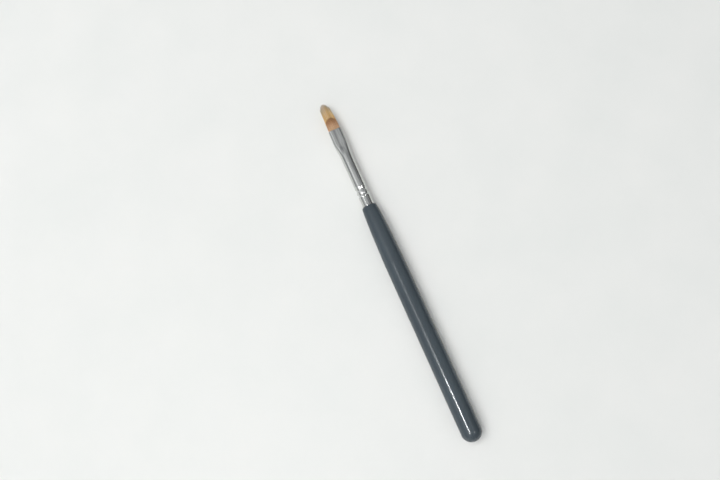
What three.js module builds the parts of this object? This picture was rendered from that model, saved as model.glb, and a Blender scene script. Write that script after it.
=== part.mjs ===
// A flat nail brush with a gapped, comb-like tip: a turned handle, a ferrule that is crimped onto the
// handle's tenon and pressed flat at its mouth, and hair that is tied, set in resin and held there.
// Millimetres. Every station is a distance along X from the handle's shoulder, towards the hair tip.
import * as THREE from "three";

// Handle: turned wood, lacquered.
const HANDLE_LENGTH = 103.4;
const HANDLE_RADIUS = 4.25;
const FULL_WIDTH_FROM = 26; // behind the shoulder, the handle keeps its full radius
const SHOULDER_FACE_RADIUS = 2.64; // the flat that meets the ferrule
const SHOULDER_RADIUS = 3.26; // at the end of the rounded corner
const SHOULDER_ROUND = 0.8;
const BUTT_LENGTH = 4.1; // the rounded end
const TENON_LENGTH = 12;
const TENON_CHAMFER = 0.5;
// The neck between the shoulder and the full width, as [distance behind the shoulder, radius].
const NECK = [
  [2.8, 3.45],
  [9, 3.78],
  [18, 4.06],
];

// Ferrule: drawn tube.
const FERRULE_LENGTH = 36.2;
const FERRULE_RADIUS = 2.5;
const WALL = 0.33;
const REAR_GAP = 0.1; // between the ferrule's rear lip and the shoulder
const LIP_HEIGHT = 0.1;
const LIP_LENGTH = 0.6;
const TAPER_START = 22.3; // round behind this, pressed ahead of it
const TAPER_LENGTH = 8.4;
const TAPER_STEPS = 5;
const MOUTH_TUBE_RADIUS = 2.38; // the mouth's perimeter as a circle, after the tube is drawn in
const MOUTH_HALF_WIDTH = 2.95;
const MOUTH_EDGE = 0.08;

// Crimp grooves, rolled through the ferrule, the adhesive film and the tenon together.
const CRIMPS = [5.4, 7.6];
const CRIMP_HALF_WIDTH = 0.95;
const CRIMP_DEPTH = 0.22;
const CRIMP_STEPS = 4;

// Adhesives, thread and the clearances that keep neighbours apart.
const GAP = 0.03;
const FILM = 0.09;
const FILM_FROM = 0.5;
const FILM_TO = 11.2;
const ROOT_ADHESIVE_FROM = 15.8;
const ROOT_ADHESIVE_TO = 20.9;
const ROOT_SKIRT = 0.13;
const THREAD = 0.16;
const THREAD_TURNS = 3;
const THREAD_FROM = 19.7;
const THREAD_PITCH = 0.34;

// Hair. Outlines are half a width and half a thickness, by distance ahead of the ferrule's mouth.
const HAIR_LENGTH = 12.8;
const ROOTS_FROM = 18.8;
const ROOTS_TO = 21; // the tied stretch
const ROOT_RADIUS = 1.72;
const HAIR_CLEARANCE = 0.06;
const LAYER_GAP = 0.05;
const SHORT_LENGTH = 6;
const SHORT_ARCH = 0.3; // how much shorter the short hair is at its sides, as a share
const COMB_TUFTS = 7;
const COMB_GAP = 0.024; // between neighbouring tufts, as a share of the half width
const COMB_TIP_SHARE = 0.72; // how far a tuft narrows towards its tip
const COMB_THICKNESS_SHARE = 0.32; // of the whole tuft, inside the ferrule
const COMB_ROUNDING = 1.9; // how much shorter the outermost tufts are
const HAIR_OUTLINE = [
  [0, 2.56, 0.99],
  [1.5, 2.64, 1.05],
  [3.9, 2.58, 0.8],
  [SHORT_LENGTH, 2.46, 0.5],
  [8.9, 2.32, 0.34],
  [11.4, 2.2, 0.22],
  [HAIR_LENGTH, 2.1, 0.18],
];
const COMB_THICKNESS = [
  [0, 0.33],
  [SHORT_LENGTH, 0.3],
  [HAIR_LENGTH, 0.12],
];

// Facets. One facet of every turned part is centred underneath, so the handle lies flat.
const SIDES = 20;
const SHOULDER_STEPS = 4;
const NECK_STEPS = 7;
const BUTT_STEPS = 7;
const SHORT_SIDES = 16;
const COMB_SIDES = 10;

const bore = FERRULE_RADIUS - WALL;
const filmOuter = bore - GAP;
const filmInner = filmOuter - FILM;
const tenonRadius = filmInner - GAP;
const taperEnd = TAPER_START + TAPER_LENGTH;
const mouth = FERRULE_LENGTH;

// Pressing keeps the ferrule's perimeter: a circle becomes two half circles joined by straights.
// This is the half length of the straights that gives the mouth its width.
const straightAtMouth = (MOUTH_HALF_WIDTH - MOUTH_TUBE_RADIUS) / (1 - 2 / Math.PI);

const lacquer = { color: 0x14161a, roughness: 0.18, metalness: 0 };
const bareMetal = { color: 0xc9ccd0, roughness: 0.22, metalness: 1 };
const curedGlue = { color: 0xc9b27a, roughness: 0.35, metalness: 0 };
const thread = { color: 0xe6e0d2, roughness: 0.9, metalness: 0 };
const shortHair = { color: 0x9a4f2c, roughness: 0.5, metalness: 0 };
const longHair = { color: 0xd49a45, roughness: 0.45, metalness: 0 };

const brush = new THREE.Group();

function addPiece(name, geometry, look) {
  const mesh = new THREE.Mesh(geometry, new THREE.MeshStandardMaterial(look));
  mesh.name = name;
  brush.add(mesh);
  return mesh;
}

// A body of revolution about X from [station, radius] points.
function turned(profile) {
  const points = profile.map(([station, radius]) => new THREE.Vector2(radius, station));
  const shape = new THREE.LatheGeometry(points, SIDES, Math.PI / SIDES);
  return shape.rotateZ(-Math.PI / 2);
}

// A tube's profile, closed on itself: the outside, forwards, then the inside, backwards.
function tubeProfile(outside, inside) {
  return [...outside, ...inside.toReversed(), outside[0]];
}

function crimpDepth(station) {
  return CRIMPS.reduce((depth, centre) => {
    const share = Math.abs(station - centre) / CRIMP_HALF_WIDTH;
    return share < 1 ? depth + CRIMP_DEPTH * Math.cos((share * Math.PI) / 2) ** 2 : depth;
  }, 0);
}

function crimpedStretch(radius) {
  return CRIMPS.flatMap((centre) =>
    Array.from({ length: CRIMP_STEPS + 1 }, (_, i) => {
      const station = centre + CRIMP_HALF_WIDTH * ((2 * i) / CRIMP_STEPS - 1);
      return [station, radius - crimpDepth(station)];
    }),
  );
}

function smooth(share) {
  const s = THREE.MathUtils.clamp(share, 0, 1);
  return s * s * (3 - 2 * s);
}

function pressedShare(station) {
  return smooth((station - TAPER_START) / TAPER_LENGTH);
}

// Half the length of the flats pressed into the ferrule at a station.
function straightAt(station) {
  return straightAtMouth * pressedShare(station);
}

// The radius of the circle with the ferrule's perimeter at a station.
function tubeRadiusAt(station) {
  return THREE.MathUtils.lerp(FERRULE_RADIUS, MOUTH_TUBE_RADIUS, pressedShare(station));
}

// The radius of the pressed ferrule's round edges.
function edgeRadiusAt(station) {
  return tubeRadiusAt(station) - (2 * straightAt(station)) / Math.PI;
}

function taperStations() {
  return Array.from(
    { length: TAPER_STEPS + 1 },
    (_, i) => TAPER_START + (TAPER_LENGTH * i) / TAPER_STEPS,
  );
}

// Moves each point of the round tube along the tube's outline and keeps its depth in the wall.
function pressFlat(geometry) {
  const points = geometry.getAttribute("position");
  for (let i = 0; i < points.count; i += 1) {
    const station = points.getX(i);
    const y = points.getY(i);
    const z = points.getZ(i);
    const straight = straightAt(station);
    const edge = edgeRadiusAt(station);
    const radius = edge - (FERRULE_RADIUS - Math.hypot(y, z));
    const along = Math.atan2(Math.abs(z), Math.abs(y)) * tubeRadiusAt(station);
    const pastEdge = Math.max(0, along - (edge * Math.PI) / 2);
    const turn = Math.min(along / edge, Math.PI / 2);
    points.setY(i, Math.sign(y) * (straight - pastEdge + radius * Math.cos(turn)));
    points.setZ(i, Math.sign(z) * radius * Math.sin(turn));
  }
  return geometry;
}

function handleGeometry() {
  const shoulder = Array.from({ length: SHOULDER_STEPS }, (_, i) => {
    const turn = (i / SHOULDER_STEPS) * (Math.PI / 2);
    const rise = (SHOULDER_RADIUS - SHOULDER_FACE_RADIUS) * Math.sin(turn);
    return [SHOULDER_ROUND * (Math.cos(turn) - 1), SHOULDER_FACE_RADIUS + rise];
  });
  const neck = new THREE.SplineCurve(
    [[SHOULDER_ROUND, SHOULDER_RADIUS], ...NECK, [FULL_WIDTH_FROM, HANDLE_RADIUS]].map(
      ([behind, radius]) => new THREE.Vector2(-behind, radius),
    ),
  );
  const buttStart = BUTT_LENGTH - HANDLE_LENGTH;
  const butt = Array.from({ length: BUTT_STEPS + 1 }, (_, i) => {
    const turn = (i / BUTT_STEPS) * (Math.PI / 2);
    return [buttStart - BUTT_LENGTH * Math.sin(turn), i < BUTT_STEPS ? HANDLE_RADIUS * Math.cos(turn) : 0];
  });
  return turned(
    [
      [TENON_LENGTH, 0],
      [TENON_LENGTH, tenonRadius - TENON_CHAMFER],
      [TENON_LENGTH - TENON_CHAMFER, tenonRadius],
      ...crimpedStretch(tenonRadius).toReversed(),
      [0, tenonRadius],
      ...shoulder,
      ...neck.getPoints(NECK_STEPS).map((point) => [point.x, point.y]),
      ...butt,
    ].toReversed(),
  );
}

function tenonAdhesiveGeometry() {
  const outside = [[FILM_FROM, filmOuter], ...crimpedStretch(filmOuter), [FILM_TO, filmOuter]];
  const inside = outside.map(([station, radius]) => [station, radius - FILM]);
  return turned(tubeProfile(outside, inside));
}

function ferruleGeometry() {
  const outside = [
    [REAR_GAP, FERRULE_RADIUS],
    [REAR_GAP + LIP_LENGTH / 4, FERRULE_RADIUS + LIP_HEIGHT],
    [REAR_GAP + (LIP_LENGTH * 3) / 4, FERRULE_RADIUS + LIP_HEIGHT],
    [REAR_GAP + LIP_LENGTH, FERRULE_RADIUS],
    ...crimpedStretch(FERRULE_RADIUS),
    ...taperStations().map((station) => [station, FERRULE_RADIUS]),
    [mouth - MOUTH_EDGE, FERRULE_RADIUS],
    [mouth, FERRULE_RADIUS - MOUTH_EDGE],
  ];
  const inside = [
    [REAR_GAP, bore],
    ...crimpedStretch(bore),
    ...taperStations().map((station) => [station, bore]),
    [mouth, bore],
  ];
  return pressFlat(turned(tubeProfile(outside, inside)));
}

// A cup: a solid disc behind the roots, and a skirt round them.
function rootAdhesiveGeometry() {
  return turned([
    [ROOT_ADHESIVE_FROM, 0],
    [ROOT_ADHESIVE_FROM, filmOuter],
    [ROOT_ADHESIVE_TO, filmOuter],
    [ROOT_ADHESIVE_TO, filmOuter - ROOT_SKIRT],
    [ROOTS_FROM - GAP, filmOuter - ROOT_SKIRT],
    [ROOTS_FROM - GAP, 0],
  ]);
}

function bindingThreadGeometry() {
  const inner = ROOT_RADIUS + 2 * GAP;
  const end = THREAD_FROM + THREAD_TURNS * THREAD_PITCH;
  const outside = Array.from({ length: 2 * THREAD_TURNS + 1 }, (_, i) => [
    THREAD_FROM + (i * THREAD_PITCH) / 2,
    inner + (i % 2 ? THREAD : THREAD / 2),
  ]);
  return turned(
    tubeProfile(outside, [
      [THREAD_FROM, inner],
      [end, inner],
    ]),
  );
}

// The value at a distance in a list of [distance, value, ...] rows.
function between(rows, distance, column) {
  const next = Math.max(1, rows.findIndex((row) => row[0] >= distance - 1e-9));
  const [low, high] = [rows[next - 1], rows[next]];
  const share = (distance - low[0]) / (high[0] - low[0]);
  return THREE.MathUtils.lerp(low[column], high[column], share);
}

// The hair's outline at a station: half its straights, its edge radius, and the comb row's half
// thickness. The roots are tied thin, and fill the ferrule ahead of the thread.
function hairAt(station) {
  if (station > mouth) {
    const ahead = station - mouth;
    const half = between(HAIR_OUTLINE, ahead, 2);
    return {
      straight: between(HAIR_OUTLINE, ahead, 1) - half,
      edge: half,
      comb: between(COMB_THICKNESS, ahead, 1),
    };
  }
  const filled = edgeRadiusAt(station) - WALL - HAIR_CLEARANCE;
  const spread = smooth((station - ROOTS_TO) / (TAPER_START - ROOTS_TO));
  const edge = station < TAPER_START ? THREE.MathUtils.lerp(ROOT_RADIUS, filled, spread) : filled;
  return { straight: straightAt(station), edge, comb: COMB_THICKNESS_SHARE * edge };
}

// A closed body from a unit cylinder: each of its rings goes to a station, and place() gives
// [y, z] for a point at an angle and at 0 (an end's centre) or 1 (the outline).
function lofted(sides, stations, place) {
  const shape = new THREE.CylinderGeometry(1, 1, 1, sides, stations.length - 1);
  const points = shape.getAttribute("position");
  for (let i = 0; i < points.count; i += 1) {
    const station = stations[Math.round((points.getY(i) + 0.5) * (stations.length - 1))];
    const away = Math.hypot(points.getX(i), points.getZ(i));
    const angle = Math.atan2(points.getZ(i), -points.getX(i));
    const [x, y, z] = place(station, away, angle);
    points.setXYZ(i, x, y, z);
  }
  return shape;
}

function hairStations(ahead) {
  return [
    ROOTS_FROM,
    ROOTS_TO,
    ...taperStations(),
    mouth,
    ...ahead.map((distance) => mouth + distance),
  ];
}

// One layer of short hair: the stretch of the outline above the comb row, cut off flat below. Its
// front edge is an arch, and it thins to a chisel edge there.
function shortHairGeometry() {
  const ahead = [1.5, 2.7, 3.9, 5, SHORT_LENGTH];
  return lofted(SHORT_SIDES, hairStations(ahead), (station, away, angle) => {
    const { straight, edge, comb } = hairAt(station);
    const floor = comb + LAYER_GAP;
    const floorTurn = Math.asin(floor / edge);
    const half = straight + edge * Math.cos(floorTurn);
    let y = 0;
    let z = (floor + edge) / 2;
    if (away > 0.5 && angle >= -1e-6) {
      const quarter = edge * (Math.PI / 2 - floorTurn);
      const along = (quarter + straight) * (1 - Math.abs(1 - (2 * angle) / Math.PI));
      const turn = Math.min(floorTurn + along / edge, Math.PI / 2);
      const side = Math.sign(Math.PI / 2 - angle);
      y = side * (straight - Math.max(0, along - quarter) + edge * Math.cos(turn));
      z = edge * Math.sin(turn);
    } else if (away > 0.5) {
      y = half * (1 + (2 * angle) / Math.PI);
      z = floor;
    }
    const arch = 1 - SHORT_ARCH * (y / half) ** 2;
    return [station > mouth ? mouth + (station - mouth) * arch : station, y, z];
  });
}

// One long tuft: a rounded cell of the comb row that narrows to its tip.
function combTuftGeometry(index) {
  const cell = 2 / COMB_TUFTS;
  const centre = (index + 0.5) * cell - 1;
  const length = HAIR_LENGTH - COMB_ROUNDING * Math.abs(centre / (1 - cell / 2)) ** 2.4;
  const ahead = [1.5, SHORT_LENGTH, 8.9, length - 0.5, length];
  return lofted(COMB_SIDES, hairStations(ahead), (station, away, angle) => {
    const { straight, edge, comb } = hairAt(station);
    const tip = THREE.MathUtils.clamp((station - mouth) / length, 0, 1);
    const blunt = station > mouth + length - 0.1 ? 0.5 : 1;
    const share = blunt * THREE.MathUtils.lerp(1, COMB_TIP_SHARE, tip ** 1.5);
    const across = Math.sign(Math.cos(angle)) * Math.sqrt(Math.abs(Math.cos(angle))) * away;
    const up = Math.sign(Math.sin(angle)) * Math.sqrt(Math.abs(Math.sin(angle))) * away;
    const z = comb * blunt * up;
    const u = centre + ((cell - COMB_GAP) / 2) * share * across;
    return [station, u * (straight + Math.sqrt(edge ** 2 - z ** 2)), z];
  });
}

addPiece("handle", handleGeometry(), lacquer);
addPiece("tenon_adhesive", tenonAdhesiveGeometry(), curedGlue);
addPiece("ferrule", ferruleGeometry(), bareMetal);
addPiece("root_adhesive", rootAdhesiveGeometry(), curedGlue);
addPiece("binding_thread", bindingThreadGeometry(), thread);
addPiece("short_hair_upper", shortHairGeometry(), shortHair);
addPiece("short_hair_lower", shortHairGeometry(), shortHair).rotation.x = Math.PI;
for (let i = 0; i < COMB_TUFTS; i += 1) {
  addPiece(`comb_tuft_${i + 1}`, combTuftGeometry(i), longHair);
}

// The origin is under the middle of the brush. Facets, not corners, lie on a round part's radius.
const acrossFlats = 1 / Math.cos(Math.PI / SIDES);
brush.scale.set(1, acrossFlats, acrossFlats);
brush.position.set((HANDLE_LENGTH - FERRULE_LENGTH - HAIR_LENGTH) / 2, 0, HANDLE_RADIUS);

const part = new THREE.Group();
part.add(brush);
export default part;
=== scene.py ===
"""A slim nail-art brush: lacquered handle, crimped ferrule pressed flat at its mouth, gapped hair tip.

Shapes are worked out in millimetres. A station is a distance along the brush from the handle's
shoulder towards the hair tip, and every cross-section is centred on the brush's axis. place() puts
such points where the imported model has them.
"""

import math

import bpy
import numpy as np
from mathutils import Matrix, Vector


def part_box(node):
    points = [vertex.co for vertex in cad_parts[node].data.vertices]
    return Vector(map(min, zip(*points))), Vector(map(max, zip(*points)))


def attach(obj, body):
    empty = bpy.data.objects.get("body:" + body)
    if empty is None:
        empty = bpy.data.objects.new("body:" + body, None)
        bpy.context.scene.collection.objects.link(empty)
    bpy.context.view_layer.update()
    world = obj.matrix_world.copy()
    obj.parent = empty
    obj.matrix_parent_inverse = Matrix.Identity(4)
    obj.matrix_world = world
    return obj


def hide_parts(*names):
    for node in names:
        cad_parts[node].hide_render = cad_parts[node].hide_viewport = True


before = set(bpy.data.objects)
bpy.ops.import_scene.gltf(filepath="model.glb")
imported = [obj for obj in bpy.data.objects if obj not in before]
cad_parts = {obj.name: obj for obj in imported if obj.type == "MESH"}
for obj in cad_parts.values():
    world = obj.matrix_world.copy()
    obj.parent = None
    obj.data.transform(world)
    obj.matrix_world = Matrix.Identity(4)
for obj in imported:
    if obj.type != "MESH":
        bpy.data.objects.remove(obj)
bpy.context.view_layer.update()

MM = 0.001
SHARP_ANGLE = 75  # degrees between two faces, past which their edge is shaded sharp
rng = np.random.default_rng(4127)

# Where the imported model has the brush.
REAR_GAP = 0.1  # between the handle's shoulder and the ferrule's rear lip
AXIS_Z = (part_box("handle")[0].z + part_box("handle")[1].z) / 2
SHOULDER_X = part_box("ferrule")[0].x - REAR_GAP * MM
BUTT = (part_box("handle")[0].x - SHOULDER_X) / MM
TENON_END = (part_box("handle")[1].x - SHOULDER_X) / MM
MOUTH = (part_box("ferrule")[1].x - SHOULDER_X) / MM
HAIR_LENGTH = (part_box("comb_tuft_4")[1].x - SHOULDER_X) / MM - MOUTH

# Handle.
HANDLE_RADIUS = AXIS_Z / MM
BUTT_LENGTH = 4.1  # the rounded end
SHOULDER_FACE_RADIUS = 2.64
SHOULDER_RADIUS = 3.26  # at the end of the rounded corner
SHOULDER_ROUND = 0.8
NECK = [(-26, HANDLE_RADIUS), (-18, 4.06), (-9, 3.78), (-2.8, 3.45), (-SHOULDER_ROUND, SHOULDER_RADIUS)]
TENON_RADIUS = 2.02
TENON_CHAMFER = 0.5
TURNING_WAVE = 0.012  # how far the turned surface wanders
HANDLE_SIDES = 112
BODY_STEP = 0.8  # between the handle's stations, and finer along its neck
NECK_STEP = 0.5

# Ferrule.
TUBE_RADIUS = 2.5
MOUTH_TUBE_RADIUS = 2.38  # the mouth's perimeter as a circle
MOUTH_HALF_WIDTH = 2.95
WALL = 0.33
LIP_HEIGHT = 0.1
LIP_LENGTH = 0.6
TAPER_START = 22.3
TAPER_LENGTH = 8.4
CRIMPS = (5.4, 7.6)
CRIMP_HALF_WIDTH = 0.95
CRIMP_DEPTH = 0.22
CRIMP_BEADS = (4.45, 6.3, 8.65)  # metal pushed up beside the crimps
BEAD_HEIGHT = 0.075
BEAD_WIDTH = 0.19
DISH = 0.09  # how far the pressed flats sink between their edges
LIP_FULLNESS = 0.35  # a small power of a sine, which makes the rolled lip broad and blunt
NOSE_SHARE = 0.6  # how far the rounded mouth reaches ahead, as a share of half the wall
FERRULE_SIDES = 160

# Adhesives and thread.
ADHESIVE_SIDES = 72
FILM = (0.5, 11.2)
FILM_INNER = 2.05
FILM_OUTER = 2.14
FILM_STEPS = 90
FILM_EDGE = 0.05  # its rounded edges would meet this far beyond the film
FILM_EDGE_LENGTH = 0.3
ROOT_ADHESIVE = (15.8, 20.9)
ROOT_HOLLOW = 0.25  # how far the plug's rear face sinks at its middle
ROOT_SKIRT = 0.13
ROOT_SEAT = 0.03  # between the plug and the ends of the hair
THREAD_RADIUS = 0.08
THREAD_THINNING = 0.98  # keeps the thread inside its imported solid
THREAD_TURNS = 3
THREAD_FROM = 19.78
THREAD_PITCH = 0.288
THREAD_CLEARANCE = 0.05
THREAD_SIDES = 10
STEPS_A_TURN = 40

# Hair. Outlines are half a width and half a thickness, by distance ahead of the mouth.
ROOTS_FROM = 18.8
ROOTS_TO = 21
# Where each filament has a point inside the ferrule, and how many it has beyond the mouth.
HELD_STATIONS = (ROOTS_FROM, ROOTS_TO, TAPER_START, 25, 27.5, 30, 33, MOUTH)
FREE_STEPS = 8
ROOT_RADIUS = 1.72
HAIR_CLEARANCE = 0.06
HAIR_LEAN = 0.35  # how far the tips lean towards +Y
LAYER_GAP = 0.05  # between the comb row and the short hair beside it
SHORT_LENGTH = 6
SHORT_ARCH = 0.3  # how much shorter the short hair is at its sides, as a share
SHORT_COUNT = 460
SHORT_OVERSPREAD = 1.02  # just over 1, so that a few filaments lie right at the sides
SHORT_OUTER_SHARE = 0.45  # of the short hair that lies in a full outer row
SHORT_BEVEL = 0.05  # how much shorter the outer row is, as a share
SHORT_RAGGED = 0.12  # the mean shortfall of a short filament
SHORT_DRIFT = (0.06, 0.03)  # sideways and outwards, at the tips
COMB_TUFTS = 7
COMB_COUNT = 58  # filaments in a tuft
COMB_GAP = 0.024  # between neighbouring tufts at the mouth, as a share of the hair's half width
COMB_TIP_SHARE = 0.72  # of a tuft's share of the width, what is left at its tip
COMB_THICKNESS_SHARE = 0.32  # of the whole hair's thickness, inside the ferrule
COMB_ROUNDING = 1.9  # how much shorter the outermost tufts are
COMB_ROUNDING_POWER = 2.4
COMB_RAGGED = 0.45  # the mean shortfall of a long filament
COMB_RAGGED_MOST = 2.2  # the largest shortfall
COMB_DRIFT = 0.05
DRIFT_POWER = 1.5  # how late filaments drift, and tufts narrow, on the way to their tips
HALF_WIDTH = [
    (0, 2.56), (1.5, 2.64), (3.9, 2.58), (SHORT_LENGTH, 2.46), (8.9, 2.32), (11.4, 2.2), (HAIR_LENGTH, 2.1),
]
HALF_THICKNESS = [
    (0, 0.99), (1.5, 1.05), (3.9, 0.8), (SHORT_LENGTH, 0.5), (8.9, 0.34), (11.4, 0.22), (HAIR_LENGTH, 0.18),
]
COMB_THICKNESS = [(0, 0.33), (SHORT_LENGTH, 0.3), (HAIR_LENGTH, 0.12)]
FILAMENT_RADIUS = 0.046
FILAMENT_TIP_SHARE = 0.3  # of the radius, at a filament's tip
FILAMENT_SPREAD = (0.85, 1.15)  # the thinnest and thickest filament, against FILAMENT_RADIUS
FILAMENT_SIDES = 5
TONE_BETA = (2.4, 2.0)  # the beta distribution that tones are drawn from, where 0 is the darkest

# Camera, in metres: the point that it looks at, at the height of the brush's axis, and where it stands.
CAMERA_AIM = (0.01551, 0.00921)
CAMERA_DISTANCE = 0.2936
CAMERA_TILT = 11  # degrees from looking straight down
CAMERA_TURN = -23.69  # degrees from +X to the direction that is up in the picture
CAMERA_LENS = 35.55  # millimetres

# Studio, in metres.
ROOM_RADIUS = 2.0
WALL_TOP = 1.6

# Lights: name, direction, distance, size along and across the brush, and power, in metres and
# watts. The key lights matt surfaces only, and the others show in glossy ones only.
KEY = ("key", (0.08, 0.42, 1), 1.4, (1.0, 0.9), 13.5)
HIGHLIGHTS = [
    ("near_strip", (-0.32, 0.46, 1), 0.3, (0.048, 0.017), 0.46),  # the sharp line near the butt
    ("far_strip", (0, 0.46, 1), 0.45, (0.12, 0.03), 0.12),  # the faint stripe along the handle
    ("left_lamp", (-0.33, 0.9, 1), 2.2, (0.17, 0.5), 1.8),  # the crimps' left highlights
    ("right_lamp", (-0.33, -0.42, 1), 2.2, (0.17, 0.4), 6),  # the crimps' right highlights
]

# The room's brightness from the brush's right (0) over the top to its left (1).
ROOM = [
    (0, 0.02), (0.035, 0.03), (0.08, 0.16), (0.14, 0.33), (0.4, 0.4), (0.5, 0.45), (0.61, 0.5),
    (0.72, 0.58), (0.8, 0.95), (0.86, 0.72), (0.92, 0.42), (0.98, 0.34), (1, 0.5),
]


def place(points):
    """Points of (station, y, z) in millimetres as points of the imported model's frame."""
    return np.asarray(points, float) * MM + (SHOULDER_X, 0, AXIS_Z)


def curve_through(rows, at):
    """A smooth curve through rows of (distance, value), at one or many distances."""
    x, y = np.array(rows, float).T
    slope = np.gradient(y, x)
    i = np.clip(np.searchsorted(x, at) - 1, 0, len(x) - 2)
    width = x[i + 1] - x[i]
    t = np.clip((at - x[i]) / width, 0, 1)
    start = (2 * t**3 - 3 * t**2 + 1) * y[i] + (t**3 - 2 * t**2 + t) * width * slope[i]
    end = (3 * t**2 - 2 * t**3) * y[i + 1] + (t**3 - t**2) * width * slope[i + 1]
    return start + end


def smooth(share):
    """A step from 0 to 1 that starts and ends gently."""
    s = np.clip(share, 0, 1)
    return s * s * (3 - 2 * s)


# ---------------------------------------------------------------- meshes


def add_piece(name, points, faces, materials):
    """A shaded piece that rides on the brush and stands for the CAD node of the same name."""
    mesh = bpy.data.meshes.new(name)
    mesh.from_pydata(place(points).tolist(), [], faces)
    for material in materials:
        mesh.materials.append(material)
    mesh.shade_smooth()
    mesh.set_sharp_from_angle(angle=math.radians(SHARP_ANGLE))
    piece = bpy.data.objects.new(f"{name}_piece", mesh)
    bpy.context.scene.collection.objects.link(piece)
    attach(piece, "root")
    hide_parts(name)
    return piece


def ring_faces(rows, sides, closed=False):
    """Quads between neighbouring rings of points. Closed also joins the last ring to the first."""
    i, j = np.meshgrid(np.arange(rows if closed else rows - 1), np.arange(sides), indexing="ij")
    after, beside = (i + 1) % rows, (j + 1) % sides
    corners = [i * sides + j, i * sides + beside, after * sides + beside, after * sides + j]
    return np.stack(corners, -1).reshape(-1, 4).tolist()


def turned(profile, sides):
    """A solid of revolution from (station, radius) rows that start and end on the axis."""
    profile = np.array(profile, float)
    angle = np.arange(sides) * 2 * math.pi / sides
    station, radius = profile[1:-1, :1], profile[1:-1, 1:]
    rings = np.stack(np.broadcast_arrays(station, radius * np.cos(angle), radius * np.sin(angle)), -1)
    points = np.vstack([rings.reshape(-1, 3), [profile[0, 0], 0, 0], [profile[-1, 0], 0, 0]])
    first, last = len(points) - 2, len(points) - 1
    faces = ring_faces(len(rings), sides)
    row = (len(rings) - 1) * sides
    for j in range(sides):
        beside = (j + 1) % sides
        faces.append([first, beside, j])
        faces.append([last, row + j, row + beside])
    return points, faces


def swept(centres, radii, sides):
    """Capped tubes along many paths at once. centres is (tube, step, 3) and radii is (tube, step)."""
    tangent = np.gradient(centres, axis=1)
    tangent /= np.linalg.norm(tangent, axis=-1, keepdims=True)
    across = np.cross(tangent, (0, 0, 1))
    across /= np.linalg.norm(across, axis=-1, keepdims=True)
    up = np.cross(across, tangent)
    angle = np.arange(sides)[:, None] * 2 * math.pi / sides
    spokes = np.cos(angle) * across[:, :, None] + np.sin(angle) * up[:, :, None]
    points = centres[:, :, None] + radii[:, :, None, None] * spokes
    tubes, steps = radii.shape
    one = ring_faces(steps, sides)
    ends = [list(range(sides))[::-1], list(range((steps - 1) * sides, steps * sides))]
    faces = []
    for tube in range(tubes):
        offset = tube * steps * sides
        faces += [[corner + offset for corner in face] for face in one + ends]
    return points.reshape(-1, 3), faces


# ---------------------------------------------------------------- materials


def linear(hex_colour):
    """A hex colour as the linear red, green, blue and alpha that a shader socket takes."""
    channels = [int(hex_colour[i:i + 2], 16) / 255 for i in (0, 2, 4)]
    return [c / 12.92 if c <= 0.04045 else ((c + 0.055) / 1.055) ** 2.4 for c in channels] + [1]


class Shader:
    """A Principled material, with short ways to make its procedural inputs."""

    def __init__(self, name, **constants):
        self.material = bpy.data.materials.new(name)
        self.material.use_nodes = True
        self.tree = self.material.node_tree
        self.surface = self.tree.nodes["Principled BSDF"]
        for socket, value in constants.items():
            self.surface.inputs[socket.replace("_", " ")].default_value = value

    def node(self, kind, inputs, **settings):
        made = self.tree.nodes.new(f"ShaderNode{kind}")
        for key, value in settings.items():
            setattr(made, key, value)
        for key, value in inputs.items():
            self.feed(made.inputs[key], value)
        return made

    def feed(self, socket, value):
        if isinstance(value, bpy.types.NodeSocket):
            self.tree.links.new(value, socket)
        else:
            socket.default_value = value

    def set(self, socket, value):
        self.feed(self.surface.inputs[socket], value)

    def noise(self, scale, stretch=(1, 1, 1), detail=3):
        """Noise with scale features in a millimetre, drawn out along an axis by a small stretch."""
        where = self.node("TexCoord", {}).outputs["Object"]
        moved = self.node("Mapping", {"Vector": where, "Scale": stretch}).outputs[0]
        inputs = {"Vector": moved, "Scale": scale / MM, "Detail": detail}
        return self.node("TexNoise", inputs).outputs["Fac"]

    def attribute(self, name):
        return self.node("Attribute", {}, attribute_name=name).outputs["Fac"]

    def spread(self, value, low, high, source=(0.3, 0.7)):
        inputs = {"Value": value, "From Min": source[0], "From Max": source[1], "To Min": low, "To Max": high}
        return self.node("MapRange", inputs).outputs[0]

    def ramp(self, value, stops):
        made = self.node("ValToRGB", {"Fac": value})
        elements = made.color_ramp.elements
        for element, (position, colour) in zip(elements, (stops[0], stops[-1])):
            element.position = position
            element.color = linear(colour)
        for position, colour in stops[1:-1]:
            elements.new(position).color = linear(colour)
        return made.outputs["Color"]

    def multiply(self, a, b):
        """One colour times another. A Mix node's sockets 6 and 7 and output 2 are its colours."""
        made = self.node("Mix", {}, data_type="RGBA", blend_type="MULTIPLY")
        for socket, value in ((made.inputs[0], 1.0), (made.inputs[6], a), (made.inputs[7], b)):
            self.feed(socket, value)
        return made.outputs[2]

    def bump(self, *layers):
        """Surface relief from layers of (height, depth in millimetres)."""
        normal = None
        for height, depth in layers:
            inputs = {"Height": height, "Distance": depth * MM, "Strength": 1.0}
            if normal is not None:
                inputs["Normal"] = normal
            normal = self.node("Bump", inputs).outputs["Normal"]
        self.set("Normal", normal)


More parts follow.
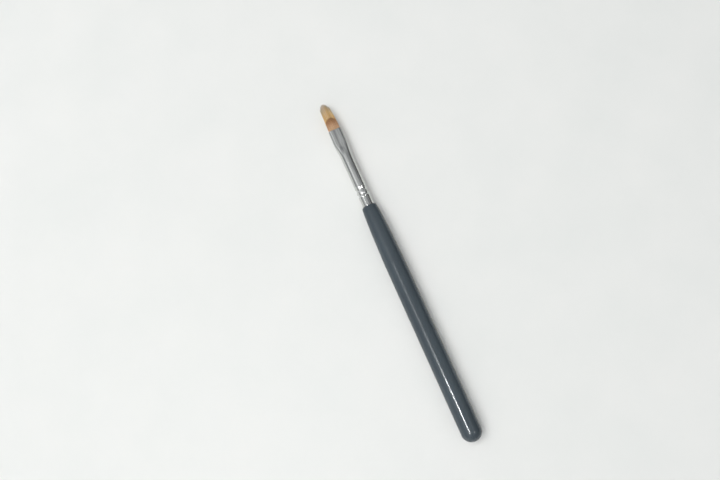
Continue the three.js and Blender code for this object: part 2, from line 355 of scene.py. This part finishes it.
def lacquer():
    shader = Shader("black_lacquer", Specular_IOR_Level=0.2, Coat_Weight=0.28, Coat_Roughness=0.04)
    cloud = shader.noise(0.12, stretch=(0.4, 1, 1))
    shader.set("Base Color", shader.ramp(cloud, [(0.35, "40484e"), (0.65, "464f55")]))
    rubbed = shader.noise(1.6, stretch=(0.25, 1, 1), detail=5)
    shader.set("Roughness", shader.spread(rubbed, 0.22, 0.27))
    orange_peel = shader.noise(0.7, detail=1)
    grain = shader.noise(4.5, stretch=(0.05, 1, 1), detail=2)
    scratches = shader.noise(14, stretch=(0.03, 1, 1), detail=2)
    shader.bump((orange_peel, 0.0012), (grain, 0.0002), (scratches, 0.00007))
    return shader.material


def raw_wood():
    shader = Shader("raw_wood", Specular_IOR_Level=0.3)
    grain = shader.noise(6, stretch=(0.04, 1, 1), detail=5)
    shader.set("Base Color", shader.ramp(grain, [(0.3, "a98a63"), (0.7, "cdb38a")]))
    shader.set("Roughness", shader.spread(grain, 0.6, 0.8))
    shader.bump((grain, 0.01))
    return shader.material


def drawn_metal():
    shader = Shader("drawn_metal", Metallic=1.0)
    streaks = shader.noise(1.3, stretch=(0.05, 1, 1), detail=2)
    shader.set("Base Color", shader.ramp(streaks, [(0.36, "babbba"), (0.64, "e3e3e0")]))
    lines = shader.noise(11, stretch=(0.02, 1, 1), detail=3)
    shader.set("Roughness", shader.spread(lines, 0.13, 0.26))
    pits = shader.noise(3, detail=2)
    rolled = shader.noise(1.1, stretch=(0.12, 1, 1), detail=1)
    shader.bump((rolled, 0.02), (lines, 0.0016), (pits, 0.0012))
    return shader.material


def cured_adhesive():
    shader = Shader("cured_adhesive", IOR=1.55, Coat_Weight=0.3, Subsurface_Weight=0.2, Subsurface_Scale=MM)
    cloud = shader.noise(0.8)
    shader.set("Base Color", shader.ramp(cloud, [(0.3, "b89a5c"), (0.7, "d0b67c")]))
    shader.set("Roughness", shader.spread(cloud, 0.25, 0.4))
    shader.bump((shader.noise(2.2, detail=2), 0.01))
    return shader.material


def thread_fibre():
    shader = Shader("thread_fibre", Sheen_Weight=0.3)
    twist = shader.noise(16, stretch=(1, 0.4, 0.4), detail=2)
    shader.set("Base Color", shader.ramp(twist, [(0.3, "cfc8b8"), (0.7, "ebe6da")]))
    shader.set("Roughness", shader.spread(twist, 0.75, 0.95))
    shader.bump((twist, 0.02))
    return shader.material


def hair(name, stops):
    """Synthetic hair. Stops give its colour by the distance from a filament's own tip."""
    shader = Shader(name, IOR=1.5, Subsurface_Weight=0.15, Subsurface_Scale=0.2 * MM)
    body = shader.ramp(shader.attribute("tip_share"), stops)
    tone = shader.ramp(shader.attribute("tone"), [(0, "b0a090"), (0.5, "eae4dc"), (1, "ffffff")])
    shader.set("Base Color", shader.multiply(body, tone))
    shader.set("Roughness", shader.spread(shader.attribute("tone"), 0.32, 0.5, source=(0, 1)))
    shader.bump((shader.noise(30, stretch=(0.05, 1, 1), detail=1), 0.0008))
    return shader.material


def floor_material():
    shader = Shader("pale_floor", Specular_IOR_Level=0.3)
    mottle = shader.noise(0.03, detail=4)
    shader.set("Base Color", shader.ramp(mottle, [(0.3, "e8e9e6"), (0.7, "ecece9")]))
    shader.set("Roughness", shader.spread(mottle, 0.55, 0.65))
    return shader.material


def wall_material():
    shader = Shader("pale_wall", Emission_Strength=0.7)
    shader.set("Base Color", linear("000000"))
    mottle = shader.noise(0.002, detail=1)
    shader.set("Emission Color", shader.ramp(mottle, [(0.3, "f9faf8"), (0.7, "fcfdfc")]))
    return shader.material


# ---------------------------------------------------------------- handle


def crimp_depth(station):
    depth = np.zeros_like(station, dtype=float)
    for centre in CRIMPS:
        share = np.clip(np.abs(station - centre) / CRIMP_HALF_WIDTH, 0, 1)
        depth += CRIMP_DEPTH * np.cos(share * math.pi / 2) ** 2
    return depth


def handle_profile():
    """From the butt's centre to the tenon's, with a surface that wanders a little, as turned wood does."""
    turn = np.linspace(0, math.pi / 2, 30)
    butt = np.stack([BUTT + BUTT_LENGTH * (1 - np.cos(turn)), HANDLE_RADIUS * np.sin(turn)], -1)
    station = np.arange(BUTT + BUTT_LENGTH + 0.6, NECK[0][0], BODY_STEP)
    wave = 0.5 + 0.3 * np.sin(station * 0.31) + 0.2 * np.sin(station * 0.83 + 1)
    body = np.stack([station, HANDLE_RADIUS - TURNING_WAVE * wave], -1)
    station = np.arange(NECK[0][0], NECK[-1][0], NECK_STEP)
    neck = np.stack([station, curve_through(NECK, station)], -1)
    turn = np.linspace(math.pi / 2, 0, 14)
    corner_rise = (SHOULDER_RADIUS - SHOULDER_FACE_RADIUS) * np.sin(turn)
    corner = np.stack([SHOULDER_ROUND * (np.cos(turn) - 1), SHOULDER_FACE_RADIUS + corner_rise], -1)
    station = np.linspace(0, TENON_END - TENON_CHAMFER, 60)
    tenon = np.stack([station, TENON_RADIUS - crimp_depth(station)], -1)
    end = [(TENON_END, TENON_RADIUS - TENON_CHAMFER), (TENON_END, 0)]
    return np.vstack([butt, body, neck, corner, tenon, end])


def make_handle(lacquer_material, wood_material):
    points, faces = turned(handle_profile(), HANDLE_SIDES)
    piece = add_piece("handle", points, faces, [lacquer_material, wood_material])
    lacquer_ends = SHOULDER_X + 0.01 * MM
    for face in piece.data.polygons:
        face.material_index = int(face.center.x > lacquer_ends)


# ---------------------------------------------------------------- ferrule


def pressed_share(station):
    return smooth((station - TAPER_START) / TAPER_LENGTH)


def straight_at(station):
    """Half the length of the flats pressed into the ferrule."""
    at_mouth = (MOUTH_HALF_WIDTH - MOUTH_TUBE_RADIUS) / (1 - 2 / math.pi)
    return at_mouth * pressed_share(station)


def tube_radius_at(station):
    """The radius of the circle with the ferrule's perimeter."""
    return TUBE_RADIUS + (MOUTH_TUBE_RADIUS - TUBE_RADIUS) * pressed_share(station)


def edge_radius_at(station):
    """The radius of the pressed ferrule's round edges."""
    return tube_radius_at(station) - 2 * straight_at(station) / math.pi


def pressed(station, angle, depth):
    """Points at a depth in the wall, once the round tube is pressed flat towards its mouth."""
    straight, edge = straight_at(station), edge_radius_at(station)
    side, rise = np.cos(angle), np.sin(angle)
    along = np.arctan2(np.abs(rise), np.abs(side)) * tube_radius_at(station)
    past_edge = np.maximum(0, along - edge * math.pi / 2)
    turn = np.minimum(along / edge, math.pi / 2)
    y = straight - past_edge + (edge - depth) * np.cos(turn)
    sunk = DISH * pressed_share(station) * smooth(past_edge / np.maximum(straight, 1e-6))
    z = (edge - depth) * np.sin(turn) - sunk
    return np.stack(np.broadcast_arrays(station, np.sign(side) * y, np.sign(rise) * z), -1)


def ferrule_profile():
    """Rows of (station, depth in the wall), out and forwards, then in and backwards."""
    lip_middle = REAR_GAP + LIP_LENGTH / 2
    turn = np.linspace(0, math.pi, 17)
    lip_rise = LIP_HEIGHT * np.sin(turn) ** LIP_FULLNESS
    lip = np.stack([lip_middle - LIP_LENGTH / 2 * np.cos(turn), -lip_rise], -1)
    # The stations are closest together round the crimps.
    station = np.concatenate([
        np.arange(REAR_GAP + LIP_LENGTH + 0.15, CRIMPS[0] - 1.6, 0.4),
        np.arange(CRIMPS[0] - 1.5, CRIMPS[-1] + 1.5, 0.06),
        np.arange(CRIMPS[-1] + 1.6, MOUTH - 0.3, 0.2),
    ])
    beads = sum(np.exp(-(((station - centre) / BEAD_WIDTH) ** 2)) for centre in CRIMP_BEADS)
    body = np.stack([station, crimp_depth(station) - BEAD_HEIGHT * beads], -1)
    turn = np.linspace(-math.pi / 2, math.pi / 2, 11)
    half = WALL / 2
    nose = np.stack([MOUTH - half * NOSE_SHARE * (1 - np.cos(turn)), half + half * np.sin(turn)], -1)
    station = np.arange(MOUTH - 0.3, REAR_GAP + 0.1, -0.3)
    inside = np.stack([station, WALL + crimp_depth(station)], -1)
    return np.vstack([lip, body, nose, inside, [(REAR_GAP, WALL)]])


def make_ferrule(material):
    profile = ferrule_profile()
    angle = (np.arange(FERRULE_SIDES) + 0.5) * 2 * math.pi / FERRULE_SIDES
    points = pressed(profile[:, :1], angle, profile[:, 1:])
    faces = ring_faces(len(profile), FERRULE_SIDES, closed=True)
    add_piece("ferrule", points.reshape(-1, 3), faces, [material])


# ---------------------------------------------------------------- adhesives and thread


def make_tenon_adhesive(material):
    station = np.linspace(*FILM, FILM_STEPS)
    from_edge = np.minimum(station - FILM[0], FILM[1] - station) + FILM_EDGE
    thickness = np.sqrt(np.minimum(from_edge / FILM_EDGE_LENGTH, 1))
    middle = (FILM_INNER + FILM_OUTER) / 2 - crimp_depth(station)
    half = (FILM_OUTER - FILM_INNER) / 2 * thickness
    profile = np.vstack([
        np.stack([station, middle + half], -1),
        np.stack([station, middle - half], -1)[::-1],
    ])
    angle = np.arange(ADHESIVE_SIDES) * 2 * math.pi / ADHESIVE_SIDES
    radius = profile[:, 1:]
    rings = np.broadcast_arrays(profile[:, :1], radius * np.cos(angle), radius * np.sin(angle))
    points = np.stack(rings, -1).reshape(-1, 3)
    faces = ring_faces(len(profile), ADHESIVE_SIDES, closed=True)
    add_piece("tenon_adhesive", points, faces, [material])


def make_root_adhesive(material):
    """A cast plug with a slightly hollow rear face, as the resin shrinks, and a skirt round the roots."""
    start, end = ROOT_ADHESIVE
    radius = np.linspace(0, FILM_OUTER, 14)
    rear = np.stack([start + ROOT_HOLLOW * (1 - (radius / FILM_OUTER) ** 2), radius], -1)
    inner = FILM_OUTER - ROOT_SKIRT
    skirt = [(end - 0.1, FILM_OUTER), (end, FILM_OUTER - 0.03), (end - 0.08, inner)]
    seat = ROOTS_FROM - ROOT_SEAT
    cup = [(seat + 0.1, inner), (seat, inner - 0.1), (seat, 0)]
    points, faces = turned(np.vstack([rear, skirt, cup]), ADHESIVE_SIDES)
    add_piece("root_adhesive", points, faces, [material])


def make_binding_thread(material):
    turns = np.linspace(0, THREAD_TURNS, THREAD_TURNS * STEPS_A_TURN)
    turn = turns * 2 * math.pi
    winding = ROOT_RADIUS + THREAD_CLEARANCE + THREAD_RADIUS
    station = THREAD_FROM + THREAD_PITCH * turns
    path = np.stack([station, winding * np.cos(turn), winding * np.sin(turn)], -1)[None]
    points, faces = swept(path, np.full(path.shape[:2], THREAD_RADIUS * THREAD_THINNING), THREAD_SIDES)
    add_piece("binding_thread", points, faces, [material])


# ---------------------------------------------------------------- hair


def hair_section(station):
    """Half the straights, the edge radius and the comb row's half thickness of the whole hair."""
    ahead = np.maximum(station - MOUTH, 0)
    free_edge = curve_through(HALF_THICKNESS, ahead)
    free_straight = curve_through(HALF_WIDTH, ahead) - free_edge
    free_comb = curve_through(COMB_THICKNESS, ahead)
    filled = edge_radius_at(station) - WALL - HAIR_CLEARANCE
    spread = smooth((station - ROOTS_TO) / (TAPER_START - ROOTS_TO))
    held_edge = np.where(station < TAPER_START, ROOT_RADIUS + (filled - ROOT_RADIUS) * spread, filled)
    held = station <= MOUTH
    return (
        np.where(held, straight_at(station), free_straight),
        np.where(held, held_edge, free_edge),
        np.where(held, COMB_THICKNESS_SHARE * held_edge, free_comb),
    )


def stations_to(lengths):
    """Each filament's stations: the held ones, then even steps from the mouth to its own tip."""
    free = np.linspace(0, 1, FREE_STEPS + 1)[1:]
    return np.hstack([np.tile(HELD_STATIONS, (len(lengths), 1)), MOUTH + lengths[:, None] * free])


def add_hair(name, centres, material):
    """Filaments along centres, with each one's tone and its distance from its tip as attributes."""
    count, steps = centres.shape[:2]
    centres[:, :, 1] += HAIR_LEAN * (np.maximum(centres[:, :, 0] - MOUTH, 0) / HAIR_LENGTH) ** 2
    ahead = np.clip((centres[:, :, 0] - MOUTH) / (centres[:, -1:, 0] - MOUTH), 0, 1)
    radii = FILAMENT_RADIUS * (1 - (1 - FILAMENT_TIP_SHARE) * ahead**2)
    points, faces = swept(centres, radii * rng.uniform(*FILAMENT_SPREAD, (count, 1)), FILAMENT_SIDES)
    piece = add_piece(name, points, faces, [material])
    tone = np.repeat(rng.beta(*TONE_BETA, count), steps * FILAMENT_SIDES)
    to_tip = np.repeat((centres[:, -1:, 0] - centres[:, :, 0]).ravel(), FILAMENT_SIDES) / HAIR_LENGTH
    for attribute, values in (("tone", tone), ("tip_share", to_tip)):
        layer = piece.data.attributes.new(attribute, "FLOAT", "POINT")
        layer.data.foreach_set("value", values.astype(np.float32))


def wander(count, size):
    """How far each filament drifts, growing from the mouth to its tip."""
    held = np.zeros(len(HELD_STATIONS) - 1)
    grow = np.concatenate([held, np.linspace(0, 1, FREE_STEPS + 1)]) ** DRIFT_POWER
    return size * rng.standard_normal((count, 1)) * grow


def make_short_hair(name, side, material):
    """One layer of short hair, above (side 1) or below (side -1) the comb row, with an arched front."""
    u = np.clip(rng.uniform(-1, 1, SHORT_COUNT) * SHORT_OVERSPREAD, -1, 1)
    v = np.sqrt(rng.uniform(0, 1, SHORT_COUNT))
    v = np.where(rng.uniform(size=SHORT_COUNT) < SHORT_OUTER_SHARE, 1, v)
    arch = 1 - SHORT_ARCH * u**2
    lengths = SHORT_LENGTH * arch * (1 - SHORT_BEVEL * v) - rng.exponential(SHORT_RAGGED, SHORT_COUNT)
    station = stations_to(lengths)
    straight, edge, comb = hair_section(station)
    inner = comb + LAYER_GAP + FILAMENT_RADIUS
    edge = edge - FILAMENT_RADIUS
    half = straight + np.sqrt(np.maximum(edge**2 - inner**2, 0))
    y = u[:, None] * half + wander(SHORT_COUNT, SHORT_DRIFT[0])
    y = np.clip(y, -half, half)
    outward = np.clip(np.abs(y) - straight, 0, edge)
    top = np.sqrt(np.maximum(edge**2 - outward**2, 0))
    z = inner + v[:, None] * np.maximum(top - inner, 0) + np.abs(wander(SHORT_COUNT, SHORT_DRIFT[1]))
    add_hair(name, np.stack([station, y, side * z], -1), material)


def make_comb_tuft(index, material):
    """One long tuft. Its filaments draw together and end unevenly at its tip."""
    cell = 2 / COMB_TUFTS
    centre = (index + 0.5) * cell - 1
    longest = HAIR_LENGTH - COMB_ROUNDING * abs(centre / (1 - cell / 2)) ** COMB_ROUNDING_POWER
    spread = np.sqrt(rng.uniform(0, 1, COMB_COUNT))
    turn = rng.uniform(0, 2 * math.pi, COMB_COUNT)
    a, b = spread * np.cos(turn), spread * np.sin(turn)
    lengths = longest - rng.exponential(COMB_RAGGED, COMB_COUNT).clip(0, COMB_RAGGED_MOST)
    lengths[0] = longest
    station = stations_to(lengths)
    straight, edge, comb = hair_section(station)
    tip = np.clip((station - MOUTH) / longest, 0, 1)
    share = 1 - (1 - COMB_TIP_SHARE) * tip**DRIFT_POWER
    z = b[:, None] * (comb - FILAMENT_RADIUS) + wander(COMB_COUNT, COMB_DRIFT)
    half = straight + np.sqrt(np.maximum(edge**2 - z**2, 0))
    u = centre + (cell - COMB_GAP) / 2 * share * a[:, None]
    y = u * (half - FILAMENT_RADIUS) + wander(COMB_COUNT, COMB_DRIFT)
    add_hair(f"comb_tuft_{index + 1}", np.stack([station, y, z], -1), material)


# ---------------------------------------------------------------- studio


def add_staging(name, points, faces, material):
    mesh = bpy.data.meshes.new(name)
    mesh.from_pydata(points, [], faces)
    mesh.materials.append(material)
    staging = bpy.data.objects.new(name, mesh)
    bpy.context.scene.collection.objects.link(staging)
    return staging


def make_floor(material):
    corners = [(-1, -1), (1, -1), (1, 1), (-1, 1)]
    points = [(x * ROOM_RADIUS, y * ROOM_RADIUS, -0.02 * MM) for x, y in corners]
    add_staging("floor", points, [(0, 1, 2, 3)], material)


def make_wall(material):
    """A pale round wall behind the floor. Only the camera sees it, so it changes no light."""
    sides = 96
    angle = np.arange(sides) * 2 * math.pi / sides
    ring = [(ROOM_RADIUS * math.cos(a), ROOM_RADIUS * math.sin(a)) for a in angle]
    points = [(x, y, z) for z in (-MM, WALL_TOP) for x, y in ring]
    wall = add_staging("wall", points, ring_faces(2, sides), material)
    wall.visible_diffuse = False
    wall.visible_glossy = False
    wall.visible_shadow = False


def add_softbox(name, direction, distance, size, power, mirrored):
    """A rectangular light that faces the origin, with sides roughly along and across the brush. A
    mirrored one shows in glossy surfaces only, and any other lights matt surfaces only."""
    light = bpy.data.lights.new(name, "AREA")
    light.shape = "RECTANGLE"
    light.size, light.size_y = size
    light.energy = power
    softbox = bpy.data.objects.new(name, light)
    bpy.context.scene.collection.objects.link(softbox)
    back = Vector(direction).normalized()
    along = (Vector((1, 0, 0)) - back * back.x).normalized()
    facing = Matrix((along, back.cross(along), back)).transposed()
    softbox.matrix_world = Matrix.Translation(back * distance) @ facing.to_4x4()
    softbox.visible_diffuse = not mirrored
    softbox.visible_glossy = mirrored


def light_room():
    """A grey room that is dark low on the right of the brush and bright high on its left."""
    world = bpy.data.worlds.new("room")
    bpy.context.scene.world = world
    world.use_nodes = True
    tree = world.node_tree
    split = tree.nodes.new("ShaderNodeSeparateXYZ")
    tree.links.new(tree.nodes.new("ShaderNodeTexCoord").outputs["Generated"], split.inputs[0])
    across = tree.nodes.new("ShaderNodeMapRange")
    across.inputs["From Min"].default_value = -1
    tree.links.new(split.outputs["Y"], across.inputs["Value"])
    ramp = tree.nodes.new("ShaderNodeValToRGB")
    while len(ramp.color_ramp.elements) < len(ROOM):
        ramp.color_ramp.elements.new(0.5)
    for element, (position, grey) in zip(ramp.color_ramp.elements, ROOM):
        element.position = position
        element.color = (0.97 * grey, grey, 1.02 * grey, 1)
    tree.links.new(across.outputs[0], ramp.inputs["Fac"])
    tree.links.new(ramp.outputs["Color"], tree.nodes["Background"].inputs["Color"])


def make_studio():
    make_floor(floor_material())
    make_wall(wall_material())
    light_room()
    add_softbox(*KEY, mirrored=False)
    for light in HIGHLIGHTS:
        add_softbox(*light, mirrored=True)


def make_camera():
    tilt, turn = math.radians(CAMERA_TILT), math.radians(CAMERA_TURN)
    picture_up = Vector((math.cos(turn), math.sin(turn), 0))
    back = Vector((0, 0, math.cos(tilt))) - picture_up * math.sin(tilt)
    right = picture_up.cross(Vector((0, 0, 1)))
    lens = bpy.data.cameras.new("camera")
    lens.lens = CAMERA_LENS
    lens.clip_start = 0.01
    camera = bpy.data.objects.new("camera", lens)
    bpy.context.scene.collection.objects.link(camera)
    facing = Matrix((right, back.cross(right), back)).transposed()
    aim = Vector((*CAMERA_AIM, AXIS_Z))
    camera.matrix_world = Matrix.Translation(aim + back * CAMERA_DISTANCE) @ facing.to_4x4()
    bpy.context.scene.camera = camera


def make_brush():
    make_handle(lacquer(), raw_wood())
    make_ferrule(drawn_metal())
    adhesive = cured_adhesive()
    make_tenon_adhesive(adhesive)
    make_root_adhesive(adhesive)
    make_binding_thread(thread_fibre())
    short_hair = hair("short_hair_fibre", [(0, "aa7c58"), (0.12, "c0906a"), (0.32, "dcb08c"), (1, "ccaa88")])
    long_hair = hair("long_hair_fibre", [(0, "ac9478"), (0.1, "d6ba8a"), (0.3, "f2cf8e"), (1, "e2b87a")])
    make_short_hair("short_hair_upper", 1, short_hair)
    make_short_hair("short_hair_lower", -1, short_hair)
    for index in range(COMB_TUFTS):
        make_comb_tuft(index, long_hair)


make_brush()
make_studio()
make_camera()
bpy.context.scene.view_settings.view_transform = "Standard"
